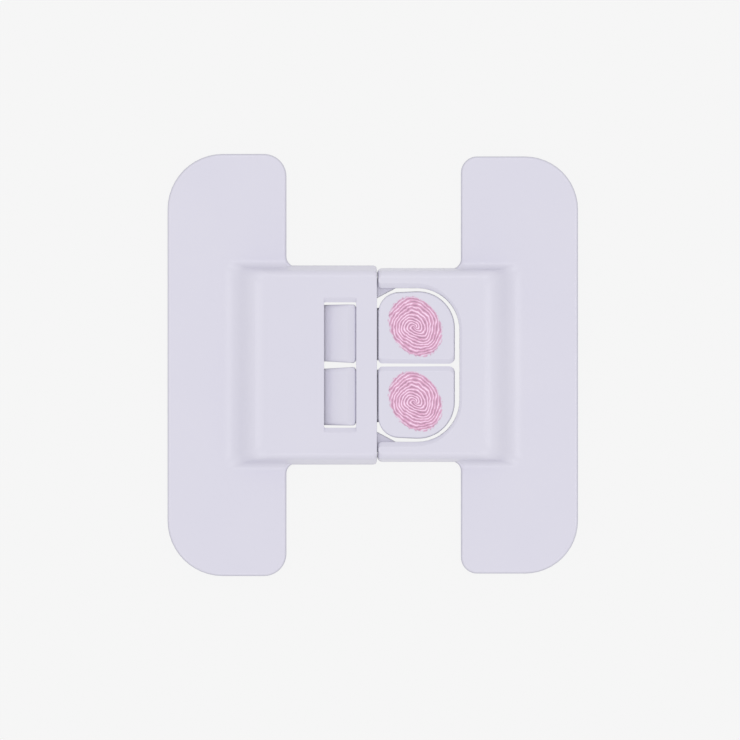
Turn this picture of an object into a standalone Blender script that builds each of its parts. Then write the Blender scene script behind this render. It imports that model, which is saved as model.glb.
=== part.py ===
# Press-to-open safety lock for a door or drawer: a keeper plate and a latch plate, each stuck down on
# a foam pad, that bridge the gap between two panels. The latch plate's tongue frame slides into
# channels under the keeper's bridge. Two sprung tongues on it snap their hooks up into the keeper's
# window, and both buttons have to be pressed to let the hooks back under the strike bar.
#
# Frame: metres, +Z out of the panels, +X from the keeper to the latch, +Y along the plates.
# Origin: centre of the two foam pads' back face.

import math

import bmesh
import bpy
from mathutils import Vector

MM = 0.001

# Plan of the two plates
KEEPER_FLANGE_WIDTH = 28.7 * MM
KEEPER_FLANGE_LENGTH = 101.6 * MM
KEEPER_OUTER_CORNER = 13.0 * MM
KEEPER_INNER_CORNER = 5.0 * MM
KEEPER_REACH = 21.7 * MM          # free length of the keeper's bridge, past its flange
KEEPER_BRIDGE_WIDTH = 47.8 * MM
LATCH_FLANGE_WIDTH = 28.5 * MM
LATCH_FLANGE_LENGTH = 100.4 * MM
LATCH_OUTER_CORNER = 12.0 * MM
LATCH_INNER_CORNER = 3.9 * MM
LATCH_REACH = 19.4 * MM           # free length of the latch's arms, past its flange
LATCH_BRIDGE_WIDTH = 46.7 * MM
SPLIT_GAP = 0.5 * MM              # between the keeper's mouth and the latch's arms
BRIDGE_ROOT_FILLET = 2.2 * MM     # in plan, where a bridge leaves its flange

# Heights and walls
FOAM_THICKNESS = 1.2 * MM
FLANGE_THICKNESS = 2.0 * MM
FLANGE_EDGE_ROUND = 0.8 * MM
BRIDGE_RISE = 6.3 * MM            # bridge top above flange top
WALL = 2.0 * MM
WALL_DRAFT = math.radians(6.0)
SHOULDER_RADIUS = 2.2 * MM        # along the bridge's two long edges
STEP_SETBACK = 6.1 * MM           # from the flange's inner edge to the top of the step
STEP_RUN = 10.4 * MM
STEP_SINK = 0.2 * MM              # how far the step starts below the flange's face
FOAM_INSET = 2.0 * MM

# Keeper window and strike bar
STRIKE_BAR = 4.9 * MM
WINDOW_LENGTH = 8.1 * MM

# Tongue frame that slides in the keeper
NOSE_END_GAP = 1.3 * MM           # from the nose to where the keeper's roof starts to fall
NOSE_BAR = 3.0 * MM
RAIL_THICKNESS = 2.6 * MM
RAIL_WIDTH = 5.65 * MM
LIP_THICKNESS = 1.8 * MM
LIP_WIDTH = 6.0 * MM
SLIDE_CLEARANCE = 0.4 * MM
NOSE_CHAMFER = 1.2 * MM

# Sprung tongues
TONGUE_SIDE_GAP = 0.6 * MM        # to the rails
TONGUE_SPLIT = 0.9 * MM           # between the two tongues
TONGUE_TAPER = 0.33 * MM          # each side, at the hook's front
LEAF_THICKNESS = 1.3 * MM
NECK_THICKNESS = 2.2 * MM
HOOK_PLAY = 0.5 * MM              # from the hook to the strike bar
HOOK_FRONT_GAP = 0.3 * MM         # from the hook's ramp to the window's other edge
HOOK_CROWN = 1.6 * MM             # level top of the hook, behind its ramp
HOOK_BELOW_TOP = 0.7 * MM         # hook's crown below the keeper's top face
TONGUE_PAD = 12.4 * MM            # length of the tongue under its button

# Buttons and the well they sit in
BUTTON_SPLIT = 0.8 * MM
BUTTON_INNER_CORNER = 0.6 * MM
BUTTON_FREE_CORNER = 8.7 * MM
BUTTON_ROOT_CORNER = 4.3 * MM
BUTTON_SLANT = 0.8 * MM           # how much narrower the button is at its root
BUTTON_EDGE_ROUND = 0.35 * MM
WELL_SIDE_GAP = 0.36 * MM         # to the button's free corner before it is rounded
WELL_END_GAP = 1.0 * MM
WELL_EDGE = 0.2 * MM              # from the well's end to the flange's inner edge
WELL_FREE_EXTRA = 1.7 * MM        # corner radius of the well over the button's, at the free end
FLARE_BEHIND = 1.4 * MM           # start of the rails' flare behind the keeper's mouth
FLARE_RUN = 5.95 * MM
ARM_WIDTH = 4.9 * MM              # top face of each arm beside the buttons

SEAT_GAP = 0.3 * MM               # between pieces that are bonded or moulded together
JOIN = 0.6 * MM                   # overlap of shapes that are moulded as one

ARC_STEP = math.radians(15.0)
STEP_SEGMENTS = 10
SHOULDER_SEGMENTS = 5

# Stations along X, worked out from the widths above
TOTAL_WIDTH = KEEPER_FLANGE_WIDTH + KEEPER_REACH + SPLIT_GAP + LATCH_REACH + LATCH_FLANGE_WIDTH
KEEPER_OUTER_X = -TOTAL_WIDTH / 2
KEEPER_INNER_X = KEEPER_OUTER_X + KEEPER_FLANGE_WIDTH
MOUTH_X = KEEPER_INNER_X + KEEPER_REACH
ARM_X = MOUTH_X + SPLIT_GAP
LATCH_INNER_X = ARM_X + LATCH_REACH
LATCH_OUTER_X = LATCH_INNER_X + LATCH_FLANGE_WIDTH
WINDOW_END_X = MOUTH_X - STRIKE_BAR
NOSE_X = KEEPER_INNER_X - STEP_SETBACK + NOSE_END_GAP
LEAF_ROOT_X = NOSE_X + NOSE_BAR + SEAT_GAP
HOOK_END_X = WINDOW_END_X - HOOK_PLAY
HOOK_START_X = WINDOW_END_X - WINDOW_LENGTH + HOOK_FRONT_GAP
BUTTON_X = ARM_X
WELL_END_X = LATCH_INNER_X - WELL_EDGE
BUTTON_END_X = WELL_END_X - WELL_END_GAP
PIVOT_X = (LEAF_ROOT_X + HOOK_START_X) / 2

# Levels along Z
FLANGE_BACK_Z = FOAM_THICKNESS + SEAT_GAP
FLANGE_TOP_Z = FLANGE_BACK_Z + FLANGE_THICKNESS
TOP_Z = FLANGE_TOP_Z + BRIDGE_RISE
ROOF_UNDER_Z = TOP_Z - WALL
RAIL_TOP_Z = ROOF_UNDER_Z - SLIDE_CLEARANCE
RAIL_BOTTOM_Z = RAIL_TOP_Z - RAIL_THICKNESS
LIP_TOP_Z = RAIL_BOTTOM_Z - SLIDE_CLEARANCE
LIP_BOTTOM_Z = LIP_TOP_Z - LIP_THICKNESS
SKIRT_Z = FLANGE_BACK_Z + FLANGE_THICKNESS * 0.35
NECK_BOTTOM_Z = RAIL_TOP_Z - NECK_THICKNESS
LEAF_TOP_Z = RAIL_TOP_Z - (NECK_THICKNESS - LEAF_THICKNESS) / 2
LEAF_BOTTOM_Z = LEAF_TOP_Z - LEAF_THICKNESS
PIVOT_Z = (LEAF_TOP_Z + LEAF_BOTTOM_Z) / 2
HOOK_TOP_Z = TOP_Z - HOOK_BELOW_TOP
BUTTON_BOTTOM_Z = RAIL_TOP_Z + SEAT_GAP

# Half widths along Y
RAIL_Y = KEEPER_BRIDGE_WIDTH / 2 - (RAIL_TOP_Z - SKIRT_Z) * math.tan(WALL_DRAFT) - WALL - SLIDE_CLEARANCE
SLOT_Y = RAIL_Y - RAIL_WIDTH
WINDOW_Y = SLOT_Y
TONGUE_Y = SLOT_Y - TONGUE_SIDE_GAP
WELL_Y = LATCH_BRIDGE_WIDTH / 2 - ARM_WIDTH
BUTTON_Y = WELL_Y - WELL_SIDE_GAP
WELL_FREE_CORNER = BUTTON_FREE_CORNER + WELL_FREE_EXTRA


def material(name, colour, roughness):
    made = bpy.data.materials.new(name)
    made.use_nodes = True
    shader = made.node_tree.nodes["Principled BSDF"]
    shader.inputs["Base Color"].default_value = (*colour, 1.0)
    shader.inputs["Roughness"].default_value = roughness
    shader.inputs["Metallic"].default_value = 0.0
    return made


def add_object(name, mesh_data, finish=None, parent=None):
    """Links a bmesh as an object; under a parent empty its points are counted from that empty."""
    if parent:
        bmesh.ops.translate(mesh_data, verts=mesh_data.verts, vec=-parent.matrix_world.translation)
    bmesh.ops.recalc_face_normals(mesh_data, faces=mesh_data.faces)
    mesh = bpy.data.meshes.new(name)
    mesh_data.to_mesh(mesh)
    mesh_data.free()
    made = bpy.data.objects.new(name, mesh)
    bpy.context.scene.collection.objects.link(made)
    if finish:
        mesh.materials.append(finish)
        mesh.shade_smooth()
        mesh.set_sharp_from_angle(angle=math.radians(30.0))
    made.parent = parent
    return made


def helper(name, mesh_data, parent=None):
    """A hidden shape that only joins or cuts another one."""
    made = add_object(name, mesh_data, parent=parent)
    made.hide_render = True
    made.display_type = "WIRE"
    return made


def combine(target, operation, *others):
    for other in others:
        step = target.modifiers.new(f"{operation.lower()} {other.name}", "BOOLEAN")
        step.operation = operation
        step.solver = "EXACT"
        step.object = other


def axis_empty(name, place, parent=None):
    made = bpy.data.objects.new(name, None)
    bpy.context.scene.collection.objects.link(made)
    made.parent = parent
    made.location = Vector(place) - (parent.matrix_world.translation if parent else Vector())
    bpy.context.view_layer.update()
    return made


def rounded(corners):
    """An outline through (x, y, radius) corners, with each corner as an arc tangent to both sides."""
    points = []
    for here, (x, y, radius) in enumerate(corners):
        corner = Vector((x, y))
        before = (Vector(corners[here - 1][:2]) - corner).normalized()
        after = (Vector(corners[(here + 1) % len(corners)][:2]) - corner).normalized()
        if radius <= 0.0:
            points.append(corner)
            continue
        half = before.angle(after) / 2
        centre = corner + (before + after).normalized() * (radius / math.sin(half))
        first = corner + before * (radius / math.tan(half)) - centre
        last = corner + after * (radius / math.tan(half)) - centre
        sweep = first.angle_signed(last)
        steps = max(2, math.ceil(abs(sweep) / ARC_STEP))
        start = math.atan2(first.y, first.x)
        for k in range(steps + 1):
            turn = start - sweep * k / steps
            points.append(centre + radius * Vector((math.cos(turn), math.sin(turn))))
    return points


def mirrored_outline(half):
    """Closes a half outline, given from the -X end to the +X end on the +Y side, across the X axis."""
    return half + [(x, -y, radius) for x, y, radius in reversed(half)]


def prism(outline, low, high, edge_round=0.0, segments=3):
    """An upright plate on an outline, with its top edge rounded over if asked."""
    made = bmesh.new()
    base = made.faces.new([made.verts.new((p[0], p[1], low)) for p in outline])
    raised = bmesh.ops.extrude_face_region(made, geom=[base])["geom"]
    top_verts = [v for v in raised if isinstance(v, bmesh.types.BMVert)]
    bmesh.ops.translate(made, verts=top_verts, vec=(0.0, 0.0, high - low))
    if edge_round > 0.0:
        top = set(top_verts)
        rim = [e for e in made.edges if e.verts[0] in top and e.verts[1] in top]
        bmesh.ops.bevel(made, geom=rim, offset=edge_round, segments=segments, profile=0.5,
                        affect="EDGES", clamp_overlap=True)
    return made


def box(low, high):
    return prism([(low[0], low[1]), (high[0], low[1]), (high[0], high[1]), (low[0], high[1])], low[2], high[2])


def side_profile(points, low_y, high_y):
    """A shape with an XZ outline, running along Y."""
    made = bmesh.new()
    base = made.faces.new([made.verts.new((x, low_y, z)) for x, z in points])
    raised = bmesh.ops.extrude_face_region(made, geom=[base])["geom"]
    verts = [v for v in raised if isinstance(v, bmesh.types.BMVert)]
    bmesh.ops.translate(made, verts=verts, vec=(0.0, high_y - low_y, 0.0))
    return made


def wall_y(half_width, z):
    """Half width of a bridge's drafted outer wall at a height."""
    return half_width - (z - SKIRT_Z) * math.tan(WALL_DRAFT)


def arch(half_width, top, radius):
    """Half an arch in YZ: up a drafted wall, round the shoulder and on to the top."""
    radius = min(radius, 0.9 * (top - SKIRT_Z) / (1.0 - math.sin(WALL_DRAFT)))
    centre_z = top - radius
    centre_y = half_width - (radius + (centre_z - SKIRT_Z) * math.sin(WALL_DRAFT)) / math.cos(WALL_DRAFT)
    points = [(half_width, SKIRT_Z)]
    for k in range(SHOULDER_SEGMENTS + 1):
        turn = WALL_DRAFT + (math.pi / 2 - WALL_DRAFT) * k / SHOULDER_SEGMENTS
        points.append((centre_y + radius * math.cos(turn), centre_z + radius * math.sin(turn)))
    return points


def arch_ring(half_width, top):
    """The closed section of a bridge's shell: outer arch, then inner arch back."""
    inner_top = max(top - WALL, SKIRT_Z + STEP_SINK)
    inner_radius = max(SHOULDER_RADIUS - WALL, STEP_SINK)
    ring = []
    outer = arch(half_width, top, SHOULDER_RADIUS)
    inner = arch(half_width - WALL, inner_top, inner_radius)
    ring += outer + [(-y, z) for y, z in reversed(outer)]
    ring += [(-y, z) for y, z in inner] + list(reversed(inner))
    return ring


def bridge_shell(step_x, step_way, end_x, width):
    """A bridge: the step up from its flange at step_x, rising along step_way, then level to end_x."""
    stations = []
    low = FLANGE_TOP_Z - STEP_SINK
    for k in range(STEP_SEGMENTS + 1):
        share = k / STEP_SEGMENTS
        ease = share * share * (3.0 - 2.0 * share)
        stations.append((step_x + step_way * STEP_RUN * share, low + (TOP_Z - low) * ease))
    stations.append((end_x, TOP_Z))
    made = bmesh.new()
    rings = [[made.verts.new((x, y, z)) for y, z in arch_ring(width / 2, top)] for x, top in stations]
    count = len(rings[0])
    for ring, following in zip(rings, rings[1:]):
        for k in range(count):
            after = (k + 1) % count
            made.faces.new((ring[k], ring[after], following[after], following[k]))
    made.faces.new(rings[0])
    made.faces.new(list(reversed(rings[-1])))
    return made


def flange_outline(outer_x, inner_x, length, outer_corner, inner_corner, bridge_width):
    """A flange, with a short root under its bridge that has the fillets seen in plan."""
    half = length / 2
    way = 1.0 if inner_x > outer_x else -1.0
    root_x = inner_x + way * BRIDGE_ROOT_FILLET
    root_y = wall_y(bridge_width / 2, FLANGE_TOP_Z) - SEAT_GAP
    corners = [
        (outer_x, half, outer_corner),
        (inner_x, half, inner_corner),
        (inner_x, root_y, BRIDGE_ROOT_FILLET),
        (root_x + way * SEAT_GAP, root_y, 0.0),
        (root_x + way * SEAT_GAP, root_y - WALL, 0.0),
        (inner_x, root_y - WALL, 0.0),
    ]
    return rounded(mirrored_outline(corners))


def foam_outline(outer_x, inner_x, length, outer_corner, inner_corner):
    way = 1.0 if inner_x > outer_x else -1.0
    half = length / 2 - FOAM_INSET
    corners = [
        (outer_x + way * FOAM_INSET, half, max(outer_corner - FOAM_INSET, 0.0)),
        (inner_x - way * FOAM_INSET, half, max(inner_corner - FOAM_INSET, 0.0)),
    ]
    return rounded(mirrored_outline(corners))


def keeper_shell(finish):
    step_x = KEEPER_INNER_X - STEP_SETBACK - STEP_RUN
    shell = add_object("keeper_shell", bridge_shell(step_x, 1.0, MOUTH_X, KEEPER_BRIDGE_WIDTH), finish)
    flange = helper("keeper_flange_shape", prism(
        flange_outline(KEEPER_OUTER_X, KEEPER_INNER_X, KEEPER_FLANGE_LENGTH, KEEPER_OUTER_CORNER,
                       KEEPER_INNER_CORNER, KEEPER_BRIDGE_WIDTH),
        FLANGE_BACK_Z, FLANGE_TOP_Z, FLANGE_EDGE_ROUND))
    combine(shell, "UNION", flange)
    lip_y = wall_y(KEEPER_BRIDGE_WIDTH / 2, LIP_TOP_Z) - JOIN
    for side, name in ((1.0, "upper"), (-1.0, "lower")):
        ends = sorted((side * lip_y, side * (lip_y - LIP_WIDTH)))
        lip = helper(f"keeper_{name}_lip_shape", box(
            (KEEPER_INNER_X - JOIN, ends[0], LIP_BOTTOM_Z), (MOUTH_X - JOIN, ends[1], LIP_TOP_Z)))
        combine(shell, "UNION", lip)
    window = helper("keeper_window_shape", box(
        (WINDOW_END_X - WINDOW_LENGTH, -WINDOW_Y, ROOF_UNDER_Z - JOIN), (WINDOW_END_X, WINDOW_Y, TOP_Z + JOIN)))
    combine(shell, "DIFFERENCE", window)
    return shell


def well_outline(start_x, start_y):
    """The hole round the tongues and buttons; from start_y it flares out to the well's own width."""
    flare_x = MOUTH_X - FLARE_BEHIND
    half = [(start_x, start_y, 0.0)]
    if start_y != WELL_Y:
        half += [(flare_x, start_y, 0.0), (flare_x + FLARE_RUN, WELL_Y, 0.0)]
    half.append((WELL_END_X, WELL_Y, WELL_FREE_CORNER))
    return rounded(mirrored_outline(half))


def latch_shell(finish, parent):
    step_x = LATCH_INNER_X + STEP_SETBACK + STEP_RUN
    shell = add_object("latch_shell", bridge_shell(step_x, -1.0, ARM_X, LATCH_BRIDGE_WIDTH), finish, parent)
    flange = helper("latch_flange_shape", prism(
        flange_outline(LATCH_OUTER_X, LATCH_INNER_X, LATCH_FLANGE_LENGTH, LATCH_OUTER_CORNER,
                       LATCH_INNER_CORNER, LATCH_BRIDGE_WIDTH),
        FLANGE_BACK_Z, FLANGE_TOP_Z, FLANGE_EDGE_ROUND), parent)
    frame_end = WELL_END_X + WALL
    core_y = wall_y(LATCH_BRIDGE_WIDTH / 2, ROOF_UNDER_Z) - WALL + JOIN
    core = helper("latch_arm_core_shape", box(
        (ARM_X + JOIN, -core_y, RAIL_BOTTOM_Z), (frame_end, core_y, ROOF_UNDER_Z + JOIN)), parent)
    rail_half = [(NOSE_X, RAIL_Y, NOSE_CHAMFER), (frame_end - JOIN, RAIL_Y, 0.0)]
    rails = helper("latch_rail_shape", prism(
        rounded(mirrored_outline(rail_half)), RAIL_BOTTOM_Z, RAIL_TOP_Z), parent)
    combine(shell, "UNION", core, flange)
    roof_well = helper("latch_roof_well_shape", prism(
        well_outline(ARM_X - JOIN, WELL_Y), RAIL_TOP_Z, TOP_Z + JOIN), parent)
    combine(shell, "DIFFERENCE", roof_well)
    combine(shell, "UNION", rails)
    tongue_well = helper("latch_tongue_well_shape", prism(
        well_outline(NOSE_X + NOSE_BAR, SLOT_Y), RAIL_BOTTOM_Z - JOIN, RAIL_TOP_Z + JOIN / 2), parent)
    combine(shell, "DIFFERENCE", tongue_well)
    return shell


def spring_tongue(name, side, finish, parent):
    """A leaf from the nose bar, with the hook on it and a pad under the button."""
    pad_end = BUTTON_X + TONGUE_PAD
    points = [
        (LEAF_ROOT_X, LEAF_BOTTOM_Z),
        (HOOK_START_X, LEAF_BOTTOM_Z),
        (HOOK_START_X + (LEAF_BOTTOM_Z - NECK_BOTTOM_Z), NECK_BOTTOM_Z),
        (pad_end, NECK_BOTTOM_Z),
        (pad_end, RAIL_TOP_Z),
        (HOOK_END_X, RAIL_TOP_Z),
        (HOOK_END_X, HOOK_TOP_Z),
        (HOOK_END_X - HOOK_CROWN, HOOK_TOP_Z),
        (HOOK_START_X, LEAF_TOP_Z),
        (LEAF_ROOT_X, LEAF_TOP_Z),
    ]
    made = side_profile(points, TONGUE_SPLIT / 2, TONGUE_Y)
    middle = (TONGUE_SPLIT / 2 + TONGUE_Y) / 2
    half = (TONGUE_Y - TONGUE_SPLIT / 2) / 2
    for vert in made.verts:
        back = min(1.0, max(0.0, (HOOK_END_X - vert.co.x) / (HOOK_END_X - HOOK_START_X)))
        vert.co.y = side * (middle + (vert.co.y - middle) * (1.0 - back * TONGUE_TAPER / half))
    return add_object(name, made, finish, parent)


def button(name, side, finish, parent):
    corners = [
        (BUTTON_X, side * (BUTTON_Y - BUTTON_SLANT), BUTTON_ROOT_CORNER),
        (BUTTON_END_X, side * BUTTON_Y, BUTTON_FREE_CORNER),
        (BUTTON_END_X, side * BUTTON_SPLIT / 2, BUTTON_INNER_CORNER),
        (BUTTON_X, side * BUTTON_SPLIT / 2, BUTTON_INNER_CORNER),
    ]
    made = prism(rounded(corners), BUTTON_BOTTOM_Z, TOP_Z, BUTTON_EDGE_ROUND, segments=2)
    return add_object(name, made, finish, parent)


def build():
    for old in list(bpy.data.objects):
        bpy.data.objects.remove(old)
    lavender = material("lavender plastic", (0.71, 0.695, 0.785), 0.45)
    foam = material("white foam tape", (0.80, 0.80, 0.78), 0.9)

    keeper_shell(lavender)
    add_object("keeper_foam_pad", prism(
        foam_outline(KEEPER_OUTER_X, KEEPER_INNER_X, KEEPER_FLANGE_LENGTH, KEEPER_OUTER_CORNER,
                     KEEPER_INNER_CORNER), 0.0, FOAM_THICKNESS), foam)

    slide_axis = axis_empty("latch_slide_axis", (MOUTH_X, 0.0, RAIL_BOTTOM_Z))
    latch_shell(lavender, slide_axis)
    add_object("latch_foam_pad", prism(
        foam_outline(LATCH_OUTER_X, LATCH_INNER_X, LATCH_FLANGE_LENGTH, LATCH_OUTER_CORNER,
                     LATCH_INNER_CORNER), 0.0, FOAM_THICKNESS), foam, slide_axis)

    for name, side in (("upper", 1.0), ("lower", -1.0)):
        middle_y = side * (TONGUE_SPLIT / 2 + TONGUE_Y) / 2
        press_axis = axis_empty(f"{name}_press_axis", (PIVOT_X, middle_y, PIVOT_Z), slide_axis)
        spring_tongue(f"{name}_spring_tongue", side, lavender, press_axis)
        button(f"{name}_button", side, lavender, press_axis)


build()
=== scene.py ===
import math

import bmesh
import bpy
from mathutils import Matrix, Vector


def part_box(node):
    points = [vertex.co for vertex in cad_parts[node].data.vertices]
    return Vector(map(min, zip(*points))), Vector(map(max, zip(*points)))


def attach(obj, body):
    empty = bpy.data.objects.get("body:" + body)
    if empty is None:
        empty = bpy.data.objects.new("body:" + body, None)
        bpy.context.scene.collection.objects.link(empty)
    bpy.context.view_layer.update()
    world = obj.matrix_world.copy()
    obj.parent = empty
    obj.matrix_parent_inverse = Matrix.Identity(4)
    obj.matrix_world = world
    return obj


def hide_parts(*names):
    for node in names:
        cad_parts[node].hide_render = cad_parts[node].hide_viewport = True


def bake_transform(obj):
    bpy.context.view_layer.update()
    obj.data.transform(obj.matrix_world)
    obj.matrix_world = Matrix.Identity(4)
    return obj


# Looks of the stick-on safety lock. Shapes are worked out in millimetres and scaled to metres at the end.
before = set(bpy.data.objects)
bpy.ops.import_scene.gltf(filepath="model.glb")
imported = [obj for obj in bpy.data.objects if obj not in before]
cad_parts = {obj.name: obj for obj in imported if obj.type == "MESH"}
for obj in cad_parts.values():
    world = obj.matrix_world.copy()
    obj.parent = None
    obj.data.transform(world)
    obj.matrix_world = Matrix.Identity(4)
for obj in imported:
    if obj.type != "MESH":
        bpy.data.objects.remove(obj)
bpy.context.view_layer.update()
mm = 0.001
print("frame loaded:", sorted(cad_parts))


def nodeBox(name):
    low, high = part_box(name)
    return low / mm, high / mm


keeperLow, keeperHigh = nodeBox("keeper_shell")
latchLow, latchHigh = nodeBox("latch_shell")
buttonLow, buttonHigh = nodeBox("upper_button")
tongueLow, tongueHigh = nodeBox("upper_spring_tongue")
topZ = keeperHigh.z
backZ = keeperLow.z

# What both bridges share: the step up from the flange, the side walls, their rounding and the hollow below
bridge = {
    "flangeThickness": 2.0,
    "flangeTopRound": 0.9,
    "flangeBackRound": 0.35,
    "skirt": 0.7,  # walls end this far above the flange's back
    "skirtRound": 0.35,
    "skirtRows": (0.06, 0.18),  # heights at which the skirt's rounding is followed
    "wall": 2.0,
    "stepRun": 12.4,
    "stepAngle": 47.5,
    "stepFootRadius": 7.4,
    "stepWall": 0.6,  # the hollow's step stands this much further in
    "foot": 1.9,  # hollow rounding where a wall meets the flange
    "footFade": (1.1, -0.6),  # where it runs out, from before the flange's inner edge to past it
    "footSteps": 10,
    "baseCorner": 2.0,
    "crestCorner": 2.6,
    "edgeRound": 0.22,
    "softEdge": (0.6, 33.0, 1.4),  # radius, slope and whole width of a bevel that is rounded off above
    "wellEndEdge": (0.8, 36.0, 1.0),  # the same, where the well ends
    "bevelSteps": 6,
    "rootFillet": 2.4,  # between the flange's inner edge and the wall
    "rootReach": 2.0,  # the flange runs on along the wall past the fillet
    "rootSunk": 0.04,  # inside the wall's outer face
    "rootPast": 0.4,  # beyond the wall's inner face
    "roofRound": 0.4,
    "roofSteps": 5,
    "hollowCorner": 1.2,
    "hollowRow": 0.4,  # height between the hollow's loops
    "cutPast": 1.0,  # a cutting shape stands out this far above and below
    "mouthPast": 2.0,  # and this far past an open end
    "levels": 30,
    "sunk": 0.012,  # the step's first loop, below the flange's face
}
flangeTop = backZ + bridge["flangeThickness"]
skirtZ = backZ + bridge["skirt"]
roofZ = topZ - bridge["wall"]
rise = topZ - flangeTop

# How finely outlines are drawn, and what counts as one point
curves = {
    "arcStep": 7.5,  # degrees
    "fewest": 3,  # steps in an arc
    "tightest": 0.02,  # radius left when an inset has used a corner up
    "straight": 1e-4,  # radians, half of the smallest bend that gets an arc
    "samePoint": 2e-4,
    "noLength": 1e-5,
}


# Outlines and lofts

def clamped(value, low=0.0, high=1.0):
    return min(max(value, low), high)


def mirrored(half):
    return half + [(x, -y, radius) for x, y, radius in reversed(half)]


def anticlockwise(corners):
    turned = zip(corners, corners[1:] + corners[:1])
    area = sum(a[0] * b[1] - b[0] * a[1] for a, b in turned)
    return corners if area > 0 else list(reversed(corners))


def roundedLoop(corners, inset=0.0):
    # every (x, y, radius) corner becomes an arc; inset draws all sides inwards and keeps the point count
    points = []
    count = len(corners)
    for i, (x, y, radius) in enumerate(corners):
        here = Vector((x, y))
        toLast = (Vector(corners[i - 1][:2]) - here).normalized()
        toNext = (Vector(corners[(i + 1) % count][:2]) - here).normalized()
        bend = toNext.x * toLast.y - toNext.y * toLast.x  # above 0 where the outline bulges out
        half = toLast.angle(toNext) / 2
        side = 1.0 if bend >= 0.0 else -1.0
        if math.pi / 2 - half < curves["straight"]:
            points.append(here + Vector((-toNext.y, toNext.x)) * inset)
            continue
        middle = (toLast + toNext).normalized()
        corner = here + middle * (side * inset / math.sin(half))
        if radius <= 0.0:
            points.append(corner)
            continue
        arc = max(radius - side * inset, curves["tightest"])
        centre = corner + middle * (arc / math.sin(half))
        first = corner + toLast * (arc / math.tan(half)) - centre
        start = math.atan2(first.y, first.x)
        sweep = side * (math.pi - 2 * half)
        steps = max(curves["fewest"], math.ceil(abs(sweep) / math.radians(curves["arcStep"])))
        for k in range(steps + 1):
            turn = start + sweep * k / steps
            points.append(centre + arc * Vector((math.cos(turn), math.sin(turn))))
    return points


def loft(levels):
    # levels: (loop, z) pairs with equal point counts, closed by a cap at each end
    shape = bmesh.new()
    rings = [[shape.verts.new((x, y, z)) for x, y in loop] for loop, z in levels]
    count = len(rings[0])
    for ring, above in zip(rings, rings[1:]):
        for k in range(count):
            after = (k + 1) % count
            shape.faces.new((ring[k], ring[after], above[after], above[k]))
    shape.faces.new(list(reversed(rings[0])))
    shape.faces.new(rings[-1])
    return shape


def roundOver(depth, radius):
    # how far a rounded edge has drawn in at a depth below the face that it ends on
    if depth >= radius:
        return 0.0
    return radius - math.sqrt(max(radius ** 2 - (radius - max(depth, 0.0)) ** 2, 0.0))


def softEdge(depth, bevel=bridge["softEdge"]):
    # the same for a wide bevel that runs smoothly out of the face above
    radius, slope, reach = bevel
    turn = math.radians(slope)
    arc = radius * (1 - math.cos(turn))
    if depth <= arc:
        return reach - math.sqrt(radius ** 2 - (radius - max(depth, 0.0)) ** 2)
    return max(reach - radius * math.sin(turn) - (depth - arc) / math.tan(turn), 0.0)


def softLevels(top, bevel=bridge["softEdge"]):
    # the heights that such a bevel needs, from its lower edge up to the face
    radius, slope, reach = bevel
    turn = math.radians(slope)
    steps = bridge["bevelSteps"]
    deep = radius * (1 - math.cos(turn)) + (reach - radius * math.sin(turn)) * math.tan(turn)
    arc = [top - radius * (1 - math.cos(turn * (1 - k / steps))) for k in range(steps + 1)]
    return [top - deep] + arc


def edgeProfile(low, high, lowRound, highRound, steps=7):
    # (inset, z) pairs up the side of a plate with both its edges rounded over
    pairs = []
    for k in range(steps + 1):
        turn = math.pi / 2 * k / steps
        pairs.append((lowRound * (1 - math.sin(turn)), low + lowRound * (1 - math.cos(turn))))
    for k in range(steps + 1):
        turn = math.pi / 2 * k / steps
        pairs.append((highRound * (1 - math.cos(turn)), high - highRound * (1 - math.sin(turn))))
    return pairs


def plate(corners, low, high, lowRound, highRound, steps=7):
    around = anticlockwise(corners)
    sides = edgeProfile(low, high, lowRound, highRound, steps)
    return loft([(roundedLoop(around, inset), z) for inset, z in sides])


# Mesh handling

shading = {
    "sharp": 34.0,  # degrees between faces that keep a hard edge
    "faceWeight": 60,
}


def addObject(name, shape):
    bmesh.ops.recalc_face_normals(shape, faces=shape.faces)
    mesh = bpy.data.meshes.new(name)
    shape.to_mesh(mesh)
    shape.free()
    made = bpy.data.objects.new(name, mesh)
    bpy.context.scene.collection.objects.link(made)
    return made


def weld(mesh):
    shape = bmesh.new()
    shape.from_mesh(mesh)
    bmesh.ops.remove_doubles(shape, verts=shape.verts, dist=curves["samePoint"])
    bmesh.ops.dissolve_degenerate(shape, edges=shape.edges, dist=curves["noLength"])
    loose = sum(not edge.is_manifold for edge in shape.edges)
    shape.to_mesh(mesh)
    shape.free()
    return loose


def carve(target, operation, shape):
    tool = addObject("tool", shape)
    step = target.modifiers.new("carve", "BOOLEAN")
    step.operation = operation
    step.solver = "EXACT"
    step.object = tool
    solved = target.evaluated_get(bpy.context.evaluated_depsgraph_get())
    made = bpy.data.meshes.new_from_object(solved)
    weld(made)
    target.modifiers.clear()
    target.data, old = made, target.data
    bpy.data.meshes.remove(old)
    bpy.data.objects.remove(tool)


def settle(piece, finish, sharp=shading["sharp"]):
    # weld, scale to metres, shade
    loose = weld(piece.data)
    print("  ", piece.name, len(piece.data.vertices), "points, open edges:", loose)
    piece.data.transform(Matrix.Scale(mm, 4))
    piece.data.materials.clear()
    piece.data.materials.append(finish)
    piece.data.shade_smooth()
    piece.data.set_sharp_from_angle(angle=math.radians(sharp))
    even = piece.modifiers.new("even normals", "WEIGHTED_NORMAL")
    even.keep_sharp = True
    even.weight = shading["faceWeight"]
    return piece


def place(piece, body, node):
    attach(piece, body)
    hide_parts(node)


# Finishes

noiseSpan = (0.3, 0.7)  # nearly all of a noise node's values lie between these


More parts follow.
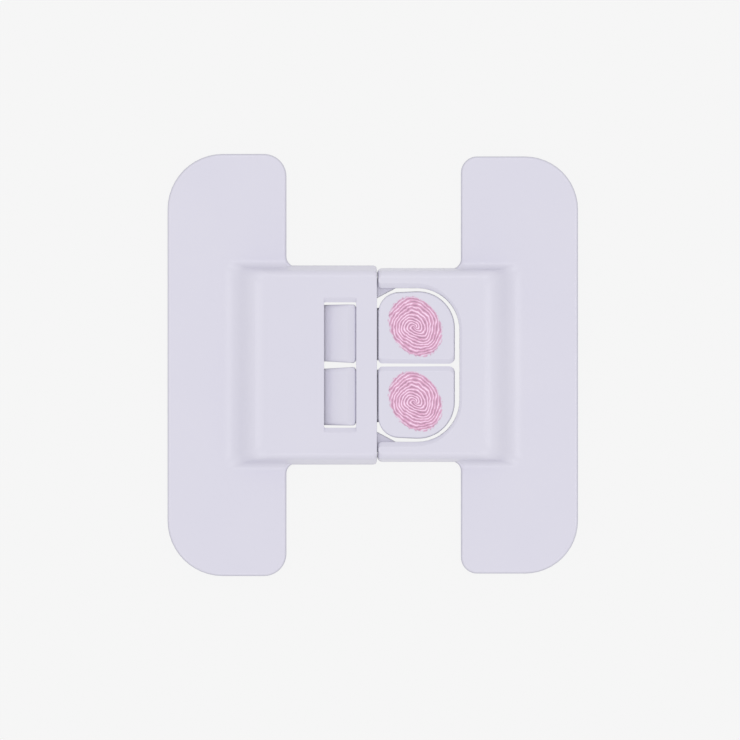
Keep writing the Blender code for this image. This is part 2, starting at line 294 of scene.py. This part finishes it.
def addNode(tree, kind, values=None, **settings):
    made = tree.nodes.new(kind)
    for key, value in settings.items():
        setattr(made, key, value)
    for key, value in (values or {}).items():
        made.inputs[key].default_value = value
    return made


def feed(tree, sockets, terms):
    # a term is a fixed value or another node's output
    for socket, term in zip(sockets, terms):
        if isinstance(term, (int, float, tuple)):
            socket.default_value = term
        else:
            tree.links.new(term, socket)


def maths(tree, operation, *terms):
    made = addNode(tree, "ShaderNodeMath", operation=operation)
    feed(tree, made.inputs, terms)
    return made.outputs[0]


def vectorMaths(tree, operation, *terms):
    made = addNode(tree, "ShaderNodeVectorMath", operation=operation)
    feed(tree, made.inputs, terms)
    return made.outputs["Value" if operation == "LENGTH" else "Vector"]


def axes(tree, vector):
    made = addNode(tree, "ShaderNodeSeparateXYZ")
    tree.links.new(vector, made.inputs[0])
    return made.outputs


def noise(tree, vector, scale, detail, roughness=0.5):
    made = addNode(tree, "ShaderNodeTexNoise", {"Scale": scale, "Detail": detail, "Roughness": roughness})
    tree.links.new(vector, made.inputs["Vector"])
    return made.outputs


def mixColour(tree, share, first, second):
    made = addNode(tree, "ShaderNodeMix", data_type="RGBA")
    opaque = [(*term, 1.0) if isinstance(term, tuple) else term for term in (first, second)]
    feed(tree, (made.inputs[0], made.inputs[6], made.inputs[7]), (share, *opaque))  # its colour sockets
    return made.outputs[2]


def mapRange(tree, value, span, result, smooth=False):
    made = addNode(tree, "ShaderNodeMapRange", interpolation_type="SMOOTHSTEP" if smooth else "LINEAR")
    feed(tree, made.inputs, (value, *span, *result))
    return made.outputs[0]


def swing(tree, spot, reach, scale, detail, roughness=0.5, span=noiseSpan):
    # noise that goes from minus to plus a reach
    return mapRange(tree, noise(tree, spot, scale, detail, roughness)[0], span, (-reach, reach))


def addBump(tree, shader, height, strength, distance):
    bump = addNode(tree, "ShaderNodeBump", {"Strength": strength, "Distance": distance * mm})
    tree.links.new(height, bump.inputs["Height"])
    tree.links.new(bump.outputs["Normal"], shader.inputs["Normal"])


lavender = {
    "colour": (0.718, 0.702, 0.809),
    "warmer": (0.731, 0.714, 0.815),
    "cloudSize": 22.0,  # mm across a patch of slightly other tone
    "cloudDetail": 3.0,
    "grainSize": 0.22,  # mm, the mould's fine spark texture
    "grainDetail": 2.0,
    "grainHeight": 0.006,
    "grainStrength": 0.5,
    "rough": (0.30, 0.38),
    "ior": 1.54,
    "edge": (0.56, 0.55, 0.64),  # painted shade on the flange's side, a darker colour where the edge turns away from the light
    "edgeShadeDepth": (0.12, 0.5),  # below the flange's face, where the painted shade begins and where it is whole
}


# paints shade: below the flange's face the colour turns to the darker edge colour
def flangeEdgeShade(tree, where, colour):
    span = tuple((flangeTop - depth) * mm for depth in lavender["edgeShadeDepth"])
    share = mapRange(tree, axes(tree, where)["Z"], span, (0.0, 1.0), smooth=True)
    return mixColour(tree, share, colour, lavender["edge"])


def plasticFinish(name, pattern=None, paintedShade=1.0):
    finish = bpy.data.materials.new(name)
    finish.use_nodes = True
    tree = finish.node_tree
    shader = tree.nodes["Principled BSDF"]
    shader.inputs["IOR"].default_value = lavender["ior"]
    where = addNode(tree, "ShaderNodeTexCoord").outputs["Object"]
    cloud = noise(tree, where, 1 / (lavender["cloudSize"] * mm), lavender["cloudDetail"])[0]
    tone = mapRange(tree, cloud, noiseSpan, (0.0, 1.0))
    # both colours are darkened by any painted shade
    shades = (tuple(part * paintedShade for part in lavender[key]) for key in ("colour", "warmer"))
    colour = mixColour(tree, tone, *shades)
    if pattern:
        colour = pattern(tree, where, colour)
    tree.links.new(colour, shader.inputs["Base Color"])
    grain = noise(tree, where, 1 / (lavender["grainSize"] * mm), lavender["grainDetail"])[0]
    tree.links.new(mapRange(tree, grain, noiseSpan, lavender["rough"]), shader.inputs["Roughness"])
    addBump(tree, shader, grain, lavender["grainStrength"], lavender["grainHeight"])
    return finish


# A whorl of ridges in pink ink, drawn by a formula on the button's top face
whorl = {
    "centre": {"upper": (10.22, 9.17), "lower": (10.22, -8.7)},
    "halfSize": (7.66, 5.98),  # the mark's border, which is 1 in the spans and scales below
    "tilt": -58.4,
    "ridges": 10.5,  # from the core to the border, along the long way
    "roundness": 0.85,  # the ridges are rounder than the border: their spread across, as a share
    "arms": -4.0,
    "ridgeInk": (0.46, 0.245, 0.365),
    "ink": (0.735, 0.382, 0.575),
    "thinInk": (1.0, 0.74, 0.93),
    "contrast": (1.1, 0.88),  # of the ridges, at the core and at the border
    "contrastSpan": (0.3, 0.95),
    "wander": 0.15,  # the ridges drift by this
    "wanderScale": 1.2,
    "wobble": 1.3,  # radians of a ridge's wave
    "wobbleScale": 4.5,
    "wobbleDetail": 1.0,
    "blotch": 0.62,  # uneven inking, added to the wave
    "blotchScale": 3.6,
    "blotchDetail": 4.0,
    "blotchRoughness": 0.62,
    "thinSpan": (-0.2, -1.1),  # heights of the wave where the ink thins out
    "ridgeSpan": (0.3, 1.3),  # and where it is full
    "ragged": 0.05,  # of the border
    "raggedScale": 9.0,
    "raggedDetail": 2.0,
    "raggedSpan": (0.25, 0.75),
    "borderSpan": (0.95, 1.02),
    "fadeSpan": (0.84, 1.0),  # here the gaps between ridges open to bare plastic
    "bare": 0.9,
    "inkDepth": 0.05,  # the print stops this far below the top face
}


def whorlPlane(tree, where, centre):
    # places on the button's face, measured from the mark's centre
    flat = addNode(tree, "ShaderNodeMapping", vector_type="TEXTURE")
    flat.inputs["Location"].default_value = (centre[0] * mm, centre[1] * mm, topZ * mm)
    flat.inputs["Rotation"].default_value = (0.0, 0.0, math.radians(whorl["tilt"]))
    flat.inputs["Scale"].default_value = (whorl["halfSize"][0] * mm, whorl["halfSize"][1] * mm, 1.0)
    tree.links.new(where, flat.inputs["Vector"])
    return flat.outputs["Vector"]


def ridgeWave(tree, spot, length):
    # about 1 along the middle of a ridge, about -1 along the middle of a gap
    drift = vectorMaths(tree, "SUBTRACT", noise(tree, spot, whorl["wanderScale"], 0.0)[1], (0.5, 0.5, 0.5))
    wander = (whorl["wander"] * 2, whorl["wander"] * 2, 0.0)
    drifted = axes(tree, vectorMaths(tree, "MULTIPLY_ADD", drift, wander, spot))
    u = drifted["X"]
    v = maths(tree, "MULTIPLY", drifted["Y"], whorl["roundness"])
    squares = maths(tree, "ADD", maths(tree, "MULTIPLY", u, u), maths(tree, "MULTIPLY", v, v))
    turns = maths(tree, "MULTIPLY", maths(tree, "SQRT", squares), 2 * math.pi * whorl["ridges"])
    phase = maths(tree, "MULTIPLY_ADD", maths(tree, "ARCTAN2", v, u), whorl["arms"], turns)
    wobble = swing(tree, spot, whorl["wobble"], whorl["wobbleScale"], whorl["wobbleDetail"])
    depth = mapRange(tree, length, whorl["contrastSpan"], whorl["contrast"])
    return maths(tree, "MULTIPLY", maths(tree, "COSINE", maths(tree, "ADD", phase, wobble)), depth)


def whorlPattern(side):
    def pattern(tree, where, colour):
        spot = whorlPlane(tree, where, whorl["centre"][side])
        length = vectorMaths(tree, "LENGTH", vectorMaths(tree, "MULTIPLY", spot, (1.0, 1.0, 0.0)))
        blotch = swing(tree, spot, whorl["blotch"], whorl["blotchScale"], whorl["blotchDetail"],
                       roughness=whorl["blotchRoughness"])
        fresh = maths(tree, "ADD", ridgeWave(tree, spot, length), blotch)
        thin = mapRange(tree, fresh, whorl["thinSpan"], (0.0, 1.0), smooth=True)
        ridge = mapRange(tree, fresh, whorl["ridgeSpan"], (0.0, 1.0), smooth=True)
        bare = mapRange(tree, length, whorl["fadeSpan"], (0.0, whorl["bare"]))
        gap = mixColour(tree, bare, whorl["thinInk"], colour)
        ink = mixColour(tree, ridge, mixColour(tree, thin, whorl["ink"], gap), whorl["ridgeInk"])
        fray = swing(tree, spot, whorl["ragged"], whorl["raggedScale"], whorl["raggedDetail"],
                     span=whorl["raggedSpan"])
        frayed = maths(tree, "ADD", length, fray)
        border = mapRange(tree, frayed, whorl["borderSpan"], (1.0, 0.0), smooth=True)
        onTop = maths(tree, "GREATER_THAN", axes(tree, where)["Z"], (topZ - whorl["inkDepth"]) * mm)
        return mixColour(tree, maths(tree, "MULTIPLY", border, onTop), colour, ink)
    return pattern


foamLook = {
    "colour": (0.80, 0.80, 0.78),
    "cellColour": (0.70, 0.70, 0.68),
    "cellSize": 0.35,
    "cellSpan": (0.0, 0.7),  # from a cell's middle to its wall
    "cellDepth": 0.05,
    "cellStrength": 0.6,
    "rough": 0.88,
}


def foamFinish():
    finish = bpy.data.materials.new("white foam")
    finish.use_nodes = True
    tree = finish.node_tree
    shader = tree.nodes["Principled BSDF"]
    shader.inputs["Roughness"].default_value = foamLook["rough"]
    where = addNode(tree, "ShaderNodeTexCoord").outputs["Object"]
    cells = addNode(tree, "ShaderNodeTexVoronoi", {"Scale": 1 / (foamLook["cellSize"] * mm)})
    tree.links.new(where, cells.inputs["Vector"])
    depth = mapRange(tree, cells.outputs["Distance"], foamLook["cellSpan"], (0.0, 1.0))
    colour = mixColour(tree, depth, foamLook["colour"], foamLook["cellColour"])
    tree.links.new(colour, shader.inputs["Base Color"])
    addBump(tree, shader, cells.outputs["Distance"], foamLook["cellStrength"], foamLook["cellDepth"])
    return finish


# The step, the walls and the hollow of a bridge

def stepAt(height):
    # how far along the step a height above the flange is reached: an arc, a straight and an arc
    angle = math.radians(bridge["stepAngle"])
    run = bridge["stepRun"]
    foot = bridge["stepFootRadius"]
    crest = (run * math.tan(angle) - rise) / (1 / math.cos(angle) - 1) - foot
    left = clamped(rise - height, high=rise)
    height = clamped(height, high=rise)
    footRise = foot * (1 - math.cos(angle))
    if height <= footRise:
        return math.sqrt(height * (2 * foot - height))
    if left <= crest * (1 - math.cos(angle)):
        return run - math.sqrt(left * (2 * crest - left))
    return foot * math.sin(angle) + (height - footRise) / math.tan(angle)


def wallAt(part, z):
    # half width of a bridge at a height: drafted wall, then shoulder
    half, radius, draft = part["bridgeWidth"] / 2, part["shoulder"], math.radians(part["draft"])
    centreZ = topZ - radius
    if z <= centreZ + radius * math.sin(draft):
        return half - (z - skirtZ) * math.tan(draft)
    centreY = half - (radius + (centreZ - skirtZ) * math.sin(draft)) / math.cos(draft)
    return centreY + math.sqrt(max(radius ** 2 - (z - centreZ) ** 2, 0.0))


def bridgeLevels():
    low = flangeTop - bridge["sunk"]
    count = bridge["levels"]
    skirt = [skirtZ + height for height in (0.0, *bridge["skirtRows"], bridge["skirtRound"])]
    walls = [low + (topZ - low) * (1 - math.cos(math.pi * k / count)) / 2 for k in range(count)]
    return sorted(skirt + walls + softLevels(topZ) + softLevels(topZ, bridge["wellEndEdge"]))


def bridgeSides(part, z):
    # half width of the free wall, half width with the foot, corner radius of the step in plan
    height = z - flangeTop
    wall = wallAt(part, z) - roundOver(z - skirtZ, bridge["skirtRound"])
    foot = roundOver(height, bridge["foot"])
    corner = bridge["baseCorner"] + (bridge["crestCorner"] - bridge["baseCorner"]) * clamped(height / rise)
    return wall, wall + foot, corner


def footRunOut(innerX, way, wall, footed):
    # points along a wall where its foot dies away at the flange's inner edge, in a smooth S in plan
    first, last = (innerX - way * offset for offset in bridge["footFade"])
    points = []
    for k in range(bridge["footSteps"] + 1):
        share = k / bridge["footSteps"]
        left = (1 + math.cos(math.pi * share)) / 2
        points.append((first + (last - first) * share, wall + (footed - wall) * left, 0.0))
    return points


def roofLevels():
    # heights that follow the rounding between the hollow's sides and the roof
    steps = bridge["roofSteps"]
    return [roofZ - bridge["roofRound"] * (1 - math.sin(math.pi / 2 * k / steps)) for k in range(steps + 1)]


def hollowOut(shell, part, footX, way, openX, levels):
    # clears the space under a bridge, from behind its step to openX
    loops = []
    for z in levels:
        inside = wallAt(part, z) - bridge["wall"] - roundOver(roofZ - z, bridge["roofRound"])
        stepX = footX + way * (stepAt(z + bridge["wall"] - flangeTop) + bridge["stepWall"])
        half = [(stepX, inside, bridge["hollowCorner"]), (openX, inside, 0.0)]
        loops.append((roundedLoop(anticlockwise(mirrored(half))), z))
    carve(shell, "DIFFERENCE", loft(loops))


def joinFlange(shell, part, outerX, innerX, halfLength):
    way = 1.0 if innerX > outerX else -1.0
    rootX = innerX + way * (bridge["rootFillet"] + bridge["rootReach"])
    rootY = wallAt(part, flangeTop) - bridge["rootSunk"]
    inside = rootY - bridge["wall"] - bridge["rootPast"]
    corners = mirrored([
        (outerX, halfLength, part["outerCorner"]),
        (innerX, halfLength, part["innerCorner"]),
        (innerX, rootY, bridge["rootFillet"]),
        (rootX, rootY, 0.0),
        (rootX, inside, 0.0),
        (innerX, inside, 0.0),
    ])
    flange = plate(corners, backZ, flangeTop, bridge["flangeBackRound"], bridge["flangeTopRound"])
    carve(shell, "UNION", flange)


# Keeper: flange, stepped bridge, window, strike bar and channel lips
keeper = {
    "flangeWidth": 28.61,
    "outerCorner": 13.3,
    "innerCorner": 5.4,
    "bridgeWidth": 48.05,
    "draft": 12.0,
    "shoulder": 2.2,
    "stepSetback": 4.01,  # the step's crest, from the flange's inner edge
    "mouthCorner": 0.95,
    "hollowRows": 9,
    "strikeBar": 5.0,
    "windowLength": 7.67,
    "windowHalf": 15.05,
    "windowCorner": 0.25,
    "windowRound": 0.176,  # along its two long edges
    "lipThickness": 1.8,
    "lipWidth": 6.0,
    "lipRise": 1.1,  # lips above the flange's back
    "lipSunk": 0.6,  # into the wall
    "lipBack": 0.9,  # before the flange's inner edge
    "lipFront": 0.6,  # behind the mouth
    "lipCorner": 0.35,
    "lipRound": 0.315,
    "lipSteps": 4,
}


def makeKeeper(finish):
    outerX, mouthX = keeperLow.x, keeperHigh.x
    innerX = outerX + keeper["flangeWidth"]
    footX = innerX - keeper["stepSetback"] - bridge["stepRun"]
    windowEnd = mouthX - keeper["strikeBar"]
    windowStart = windowEnd - keeper["windowLength"]

    def contour(z):
        wall, footed, corner = bridgeSides(keeper, z)
        drawn = roundOver(topZ - z, bridge["edgeRound"])
        half = [(footX + stepAt(z - flangeTop), footed, corner)]
        half += footRunOut(innerX, 1.0, wall, footed)
        half.append((mouthX - drawn, wall, keeper["mouthCorner"]))
        return roundedLoop(anticlockwise(mirrored(half)))

    def window(z):
        # crisp along its length, softer at its two ends
        wide = roundOver(topZ - z, keeper["windowRound"])
        end = keeper["windowHalf"] + softEdge(topZ - z)
        half = [(x, end, keeper["windowCorner"]) for x in (windowStart - wide, windowEnd + wide)]
        return roundedLoop(anticlockwise(mirrored(half)))

    shell = addObject("keeper_moulding", loft([(contour(z), z) for z in bridgeLevels()]))
    sideLevels = [flangeTop + bridge["hollowRow"] * k for k in range(keeper["hollowRows"])]
    hollowLevels = [backZ - bridge["cutPast"]] + sideLevels + roofLevels()
    hollowOut(shell, keeper, footX, 1.0, mouthX + bridge["mouthPast"], hollowLevels)
    joinFlange(shell, keeper, outerX, innerX, keeperHigh.y)
    lipLow = backZ + keeper["lipRise"]
    lipHigh = lipLow + keeper["lipThickness"]
    lipY = wallAt(keeper, lipHigh) - keeper["lipSunk"]
    lipX = (innerX - keeper["lipBack"], mouthX - keeper["lipFront"])
    for side in (1.0, -1.0):
        near, far = side * lipY, side * (lipY - keeper["lipWidth"])
        ends = ((lipX[0], near), (lipX[1], near), (lipX[1], far), (lipX[0], far))
        corners = [(x, y, keeper["lipCorner"]) for x, y in ends]
        lip = plate(corners, lipLow, lipHigh, keeper["lipRound"], keeper["lipRound"], keeper["lipSteps"])
        carve(shell, "UNION", lip)
    cutLevels = [roofZ - bridge["cutPast"]] + softLevels(topZ) + [topZ + bridge["cutPast"]]
    carve(shell, "DIFFERENCE", loft([(window(z), z) for z in cutLevels]))
    settle(shell, finish)
    place(shell, "keeper", "keeper_shell")


# Latch: flange, stepped bridge, two arms round the button well, and the frame that slides in the keeper
latch = {
    "flangeWidth": 28.18,
    "outerCorner": 12.75,
    "innerCorner": 3.9,
    "bridgeWidth": 46.7,
    "draft": 6.5,
    "shoulder": 2.4,
    "stepSetback": 3.78,
    "reach": 19.91,
    "armWidth": 4.9,
    "armCorner": (1.3, 0.5),  # radius, and the most of the arm's thickness that it takes
    "armInnerCorner": (0.9, 0.44),
    "armUnder": 4.6,
    "tipDraft": 2.0,  # the arms' ends stand closer to the keeper's mouth lower down
    "wellEdge": 0.4,  # the well's end, from the flange's inner edge
    "wellCorner": 10.15,
    "hollowRows": 7,
    "railLow": 4.8,
    "railHigh": 7.4,
    "railHalf": 20.95,
    "railRound": 0.3,
    "railSteps": 5,
    "railPast": 1.4,  # the rails end inside the arms
    "slotHalf": 15.3,
    "slotCorner": 0.6,
    "noseBar": 3.0,
    "noseCorner": 1.2,
    "flareStart": -0.4,
    "flareRun": 5.95,
    "flareCorner": 1.5,
}


def makeLatch(finish):
    outerX, noseX = latchHigh.x, latchLow.x
    innerX = outerX - latch["flangeWidth"]
    armX = innerX - latch["reach"]
    footX = innerX + latch["stepSetback"] + bridge["stepRun"]
    wellX = innerX - latch["wellEdge"]
    wellY = latch["bridgeWidth"] / 2 - latch["armWidth"]

    def contour(z):
        wall, footed, corner = bridgeSides(latch, z)
        depth = topZ - z
        drawn = softEdge(depth)
        wellEnd = wellX + softEdge(depth, bridge["wellEndEdge"])
        lean = depth * math.tan(math.radians(latch["tipDraft"]))
        tip = armX + roundOver(depth, bridge["edgeRound"]) - lean
        arm = wall - wellY - drawn
        corners = (latch["armInnerCorner"], latch["armCorner"])
        inner, outer = (min(most, share * arm) for most, share in corners)
        half = [
            (wellEnd, wellY + drawn, latch["wellCorner"] + drawn),
            (tip, wellY + drawn, inner),
            (tip, wall, outer),
        ]
        half += reversed(footRunOut(innerX, -1.0, wall, footed))
        half.append((footX - stepAt(z - flangeTop), footed, corner))
        return roundedLoop(anticlockwise(mirrored(half)))

    shell = addObject("latch_moulding", loft([(contour(z), z) for z in bridgeLevels()]))
    underLevels = [backZ - bridge["cutPast"], flangeTop, latch["armUnder"]]
    hollowOut(shell, latch, footX, -1.0, armX - bridge["mouthPast"], underLevels)
    behindLow = latch["armUnder"] - bridge["hollowRow"]
    sideLevels = [behindLow + bridge["hollowRow"] * k for k in range(latch["hollowRows"])]
    hollowOut(shell, latch, footX, -1.0, wellX + bridge["wall"], sideLevels + roofLevels())
    joinFlange(shell, latch, outerX, innerX, latchHigh.y)
    slope = (wellY - latch["slotHalf"]) / latch["flareRun"]
    endX = latch["flareStart"] + latch["flareRun"] + latch["railPast"]
    corners = mirrored([
        (noseX, latch["railHalf"], latch["noseCorner"]),
        (endX, latch["railHalf"], 0.0),
        (endX, latch["slotHalf"] + slope * (endX - latch["flareStart"]), 0.0),
        (latch["flareStart"], latch["slotHalf"], latch["flareCorner"]),
        (noseX + latch["noseBar"], latch["slotHalf"], latch["slotCorner"]),
    ])
    railRound = latch["railRound"]
    rails = plate(corners, latch["railLow"], latch["railHigh"], railRound, railRound, latch["railSteps"])
    carve(shell, "UNION", rails)
    settle(shell, finish)
    place(shell, "latch", "latch_shell")


# Sprung tongue: leaf from the nose bar, hook, and a pad that carries the button
tongue = {
    "rootSunk": 0.7,
    "leafLow": 5.65,
    "leafHigh": 6.95,
    "leafCorner": (0.5, 0.8),  # where the leaf meets the hook, below and above
    "leafSteps": 14,
    "neckHigh": 7.4,
    "hookStart": -12.1,
    "hookEnd": -4.04,
    "heelCorner": 0.4,
    "crown": 1.8,
    "crownCorner": 1.2,
    "catchRound": 0.5,
    "catchFoot": 0.3,
    "trim": 0.17,  # play along the window's ends
    "taper": (0.45, 0.12),  # at the hook's front, on the inner and the outer side
    "edge": (0.9, 0.4),  # width and depth of the rounding along both sides
    "edgeSteps": 8,
    "neckTrim": 0.8,  # the neck behind the hook is narrower by this on each side
    "neckSteps": 5,
    "neckTaper": (0.1, 0.7),  # and by this more at the pad, on the inner and the outer side
    "padStart": 0.9,  # past the button's front edge
    "padSunk": 0.03,  # into the button's underside
    "padCorner": (0.5, 0.3),  # at its free end, below and above
    "padFoot": 0.12,
    # painted shade: the tongues' colour is darker for the shade that falls on them down in the keeper's
    # window
    "paintedShade": 0.965,
}


def makeTongue(side, finish):
    sign = 1.0 if side == "upper" else -1.0
    rootX = tongueLow.x - tongue["rootSunk"]
    hookX, catchX = tongue["hookStart"], tongue["hookEnd"]
    leafLow, leafHigh = tongue["leafLow"], tongue["leafHigh"]
    low, padEnd, crownZ = tongueLow.z, tongueHigh.x, tongueHigh.z
    padX = buttonLow.x + tongue["padStart"]
    padZ = buttonLow.z + tongue["padSunk"]
    trim, neckSteps = tongue["neckTrim"], tongue["neckSteps"]
    steps = [rootX + (hookX - rootX) * k / tongue["leafSteps"] for k in range(1, tongue["leafSteps"])]
    corners = [(rootX, leafLow, 0.0)]
    corners += [(x, leafLow, 0.0) for x in steps]
    corners += [
        (hookX, leafLow, tongue["leafCorner"][0]),
        (hookX + leafLow - low, low, tongue["heelCorner"]),
        *((catchX - trim * (1 - k / neckSteps), low, 0.0) for k in range(neckSteps + 1)),
        (padX, low, 0.0),
        (padEnd, low, tongue["padCorner"][0]),
        (padEnd, padZ, tongue["padCorner"][1]),
        (padX, padZ, tongue["padFoot"]),
        (padX, tongue["neckHigh"], tongue["padFoot"]),
        (catchX, tongue["neckHigh"], tongue["catchFoot"]),
        (catchX, crownZ, tongue["catchRound"]),
        (catchX - tongue["crown"], crownZ, tongue["crownCorner"]),
        (hookX, leafHigh, tongue["leafCorner"][1]),
    ]
    corners += [(x, leafHigh, 0.0) for x in reversed(steps)]
    corners.append((rootX, leafHigh, 0.0))
    near, far = tongueLow.y, tongueHigh.y - tongue["trim"]
    wide, deep = tongue["edge"]
    rows = edgeProfile(near, far, wide, wide, tongue["edgeSteps"])
    shape = loft([(roundedLoop(corners, inset * deep / wide), y) for inset, y in rows])
    inner, outer = tongue["taper"]
    neckInner, neckOuter = tongue["neckTaper"]
    for vert in shape.verts:
        x, z, y = vert.co  # the loft ran along Y
        back = clamped((catchX - x) / (catchX - hookX))
        front = clamped(1 - (catchX - x) / trim)
        across = (y - near) / (far - near)
        neck = clamped((x - catchX) / (padX - catchX))
        waist = trim * (1 - math.sqrt(1 - front ** 2))
        fromInner = back * inner + neck * neckInner + waist
        fromOuter = back * outer + neck * neckOuter + waist
        vert.co = (x, sign * (y + fromInner * (1 - across) - fromOuter * across), z)
    made = settle(addObject(f"{side}_tongue", shape), finish)
    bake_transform(made)
    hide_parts(f"{side}_spring_tongue")


# Thumb button with its printed mark
button = {
    "slant": 0.8,
    "wide": 18.09,  # half width of the pair where the free corner would be
    "rootCorner": 5.0,
    "freeCorner": 8.85,
    "innerCorner": 1.5,
    "frontCorner": 1.15,
    "slitTrim": (0.02, 0.11),  # the slit's faces stand closer by this, in front and at the free end
    "topRound": 0.5,
    "backRound": 0.25,
    "sideDraft": 0.22,
    "forward": 0.18,
}


def makeButton(side, finish):
    sign = 1.0 if side == "upper" else -1.0
    split = buttonLow.y
    frontTrim, freeTrim = button["slitTrim"]

    def outline(z):
        # the front face and the slit's face stand upright, the other sides lean in
        lean = button["sideDraft"] * (z - buttonLow.z) / (buttonHigh.z - buttonLow.z)
        front = buttonLow.x - button["forward"] - lean
        rounded = roundOver(buttonHigh.z - z, button["topRound"])
        inset = lean + rounded + roundOver(z - buttonLow.z, button["backRound"])
        slit = split - lean + softEdge(buttonHigh.z - z) - rounded
        corners = [
            (front, sign * (button["wide"] - button["slant"]), button["rootCorner"]),
            (buttonHigh.x, sign * button["wide"], button["freeCorner"]),
            (buttonHigh.x, sign * (slit - freeTrim), button["innerCorner"]),
            (front, sign * (slit - frontTrim), button["frontCorner"]),
        ]
        return roundedLoop(anticlockwise(corners), inset)

    sides = edgeProfile(buttonLow.z, buttonHigh.z, button["backRound"], button["topRound"])
    heights = sorted([z for _, z in sides[:-1]] + softLevels(buttonHigh.z))
    shape = loft([(outline(z), z) for z in heights])
    made = settle(addObject(f"{side}_thumb_button", shape), finish)
    place(made, f"{side}_lever", f"{side}_button")


# Foam tape under a flange, a little pressed out along its edge
foam = {
    "bulge": 0.22,
    "rows": 7,
    "fill": 0.9,
    "sharp": 50.0,
}
foamInset = nodeBox("keeper_foam_pad")[0].x - keeperLow.x  # the tape's edge, inside the plate's


def makeFoam(part, plateSizes, finish):
    low, high = nodeBox(f"{part}_foam_pad")
    outerX, innerX = (low.x, high.x) if part == "keeper" else (high.x, low.x)
    outerCorner, innerCorner = (plateSizes[key] - foamInset for key in ("outerCorner", "innerCorner"))
    around = anticlockwise(mirrored([(outerX, high.y, outerCorner), (innerX, high.y, innerCorner)]))
    levels = []
    for k in range(foam["rows"] + 1):
        share = k / foam["rows"]
        inset = foam["bulge"] * (1 - math.sin(math.pi * share))
        levels.append((roundedLoop(around, inset), low.z + (backZ - low.z) * share))
    made = settle(addObject(f"{part}_foam_tape", loft(levels)), finish, sharp=foam["sharp"])
    place(made, part, f"{part}_foam_pad")


# the mouldings' flange sides carry painted shade
makeKeeper(plasticFinish("keeper lavender", flangeEdgeShade))
makeLatch(plasticFinish("latch lavender", flangeEdgeShade))
print("mouldings made")
for side in ("upper", "lower"):
    makeTongue(side, plasticFinish(f"{side} tongue lavender", paintedShade=tongue["paintedShade"]))
    makeButton(side, plasticFinish(f"{side} button lavender", whorlPattern(side)))
print("tongues and buttons made")
whiteFoam = foamFinish()
makeFoam("keeper", keeper, whiteFoam)
makeFoam("latch", latch, whiteFoam)
print("foam tape made")


# Floor, light and camera
studio = {
    "backdrop": 0.922,
    "shadowShare": 0.03,
    "floorHalf": 3000.0,
    "floorDrop": 0.2,
    "dome": 0.72,
    "overhead": 0.78,
    "overheadSpread": 30.0,
    "panels": 8,
    "panelPower": 0.62,
    "panelSize": (0.17, 0.38),
    "panelDistance": 1.1,
    "panelHeight": 47.0,  # degrees above the floor
    "lens": 300.0,
    "sensor": 36.0,
    "farthest": 20.0,  # metres that the camera sees
    "frameWidth": 177.6,  # mm across the picture
    "focusZ": 7.0,
    "centre": (-0.67, -1.2),
}


def cameraShare(tree):
    path = addNode(tree, "ShaderNodeLightPath")
    seen = maths(tree, "MAXIMUM", path.outputs["Is Camera Ray"], path.outputs["Is Glossy Ray"])
    return maths(tree, "MAXIMUM", seen, path.outputs["Is Transmission Ray"])


def makeFloor():
    shape = bmesh.new()
    bmesh.ops.create_grid(shape, x_segments=1, y_segments=1, size=studio["floorHalf"])
    floor = addObject("floor", shape)
    floor.data.transform(Matrix.Scale(mm, 4))
    floor.location.z = -studio["floorDrop"] * mm
    finish = bpy.data.materials.new("pale floor")
    finish.use_nodes = True
    tree = finish.node_tree
    tree.nodes.clear()
    grey = (studio["backdrop"],) * 3 + (1.0,)
    lit = addNode(tree, "ShaderNodeBsdfDiffuse", {"Color": grey})
    plain = addNode(tree, "ShaderNodeEmission", {"Color": grey, "Strength": 1.0})
    share = maths(tree, "MULTIPLY", cameraShare(tree), 1 - studio["shadowShare"])
    blend = addNode(tree, "ShaderNodeMixShader")
    feed(tree, blend.inputs, (share, lit.outputs[0], plain.outputs[0]))
    out = addNode(tree, "ShaderNodeOutputMaterial")
    tree.links.new(blend.outputs[0], out.inputs["Surface"])
    floor.data.materials.append(finish)


def makePanel(name, azimuth):
    # soft box that looks at the part from one side
    lamp = bpy.data.lights.new(name, "AREA")
    lamp.energy = studio["panelPower"]
    lamp.shape = "RECTANGLE"
    lamp.size, lamp.size_y = studio["panelSize"]
    panel = bpy.data.objects.new(name, lamp)
    height = math.radians(studio["panelHeight"])
    level = math.cos(height)
    away = Vector((math.cos(azimuth) * level, math.sin(azimuth) * level, math.sin(height)))
    panel.location = away * studio["panelDistance"]
    panel.rotation_euler = away.to_track_quat("Z", "Y").to_euler()
    panel.visible_camera = False
    panel.visible_diffuse = False
    bpy.context.scene.collection.objects.link(panel)


def makeLight():
    world = bpy.data.worlds.new("studio dome")
    bpy.context.scene.world = world
    world.use_nodes = True
    tree = world.node_tree
    dome = tree.nodes["Background"]
    dome.inputs["Color"].default_value = (1.0, 1.0, 1.0, 1.0)
    level = mapRange(tree, cameraShare(tree), (0.0, 1.0), (studio["dome"], studio["backdrop"]))
    tree.links.new(level, dome.inputs["Strength"])
    lamp = bpy.data.lights.new("overhead", "SUN")
    lamp.energy = studio["overhead"]
    lamp.angle = math.radians(studio["overheadSpread"])
    overhead = bpy.data.objects.new("overhead", lamp)
    overhead.visible_glossy = False
    bpy.context.scene.collection.objects.link(overhead)
    for k in range(studio["panels"]):
        makePanel(f"panel {k + 1}", 2 * math.pi * k / studio["panels"])


def makeCamera():
    data = bpy.data.cameras.new("camera")
    data.lens = studio["lens"]
    data.sensor_width = studio["sensor"]
    data.clip_end = studio["farthest"]
    camera = bpy.data.objects.new("camera", data)
    distance = studio["frameWidth"] * studio["lens"] / studio["sensor"]
    x, y = studio["centre"]
    camera.location = Vector((x, y, studio["focusZ"] + distance)) * mm
    bpy.context.scene.collection.objects.link(camera)
    bpy.context.scene.camera = camera


makeFloor()
makeLight()
makeCamera()
bpy.context.scene.view_settings.view_transform = "Standard"
print("studio ready")
